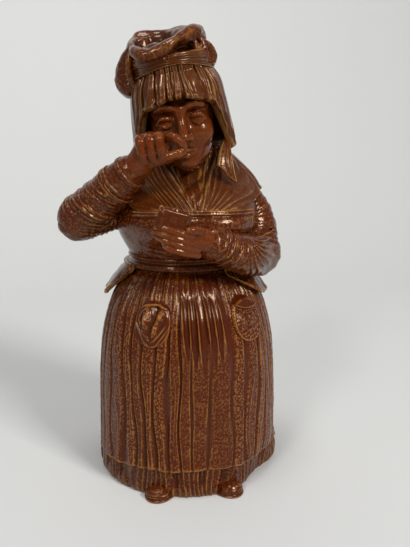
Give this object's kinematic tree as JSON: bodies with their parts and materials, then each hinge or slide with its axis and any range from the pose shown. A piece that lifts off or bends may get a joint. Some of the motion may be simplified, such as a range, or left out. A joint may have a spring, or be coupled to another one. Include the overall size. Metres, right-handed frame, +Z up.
{
  "type": "figural tobacco jar",
  "caption": "Salt-glazed stoneware jar shaped as a standing countrywoman taking snuff, whose upper body lifts off as the lid.",
  "frame": {"origin": "centre of the base on the surface that the jar stands on, on the jar's upright axis", "axes": "+Z up along the jar's axis, -Y towards the figure's front, +X towards the figure's left hand"},
  "size_m": [0.1377, 0.1239, 0.2831],
  "materials": {
    "skirt_glaze": "glossy mottled chestnut salt glaze, darker in the pleats",
    "apron_glaze": "glossy mottled red-brown salt glaze with ochre streaks on the ridges",
    "jacket_glaze": "glossy deep brown salt glaze with fine speckle",
    "skin_glaze": "glossy amber-brown salt glaze, dark in the hollows",
    "linen_glaze": "glossy olive-brown salt glaze with darker flutes",
    "bare_clay": "unglazed fired clay, matt and slightly sandy"
  },
  "bodies": {
    "jar": {"skirt_wall": "skirt_glaze", "base_slab": "bare_clay", "apron": "apron_glaze", "pocket_right": "apron_glaze", "pocket_left": "apron_glaze", "shoe_right": "jacket_glaze", "shoe_left": "jacket_glaze"},
    "lid": {"bodice": "jacket_glaze", "locating_flange": "bare_clay", "waistband": "jacket_glaze", "peplum": "jacket_glaze", "shawl": "linen_glaze", "head": "skin_glaze", "coif": "linen_glaze", "cap_band": "linen_glaze", "cap_crown": "jacket_glaze", "coif_lappet": "linen_glaze", "raised_sleeve": "jacket_glaze", "raised_cuff": "jacket_glaze", "raised_hand": "skin_glaze", "lower_sleeve": "jacket_glaze", "box_hand": "skin_glaze", "snuffbox": "jacket_glaze"}
  },
  "joints": [
    {"name": "lid_lift", "type": "slide", "parent": "jar", "child": "lid", "axis": [0, 0, 1], "range_m": [0, 0.06]}
  ]
}
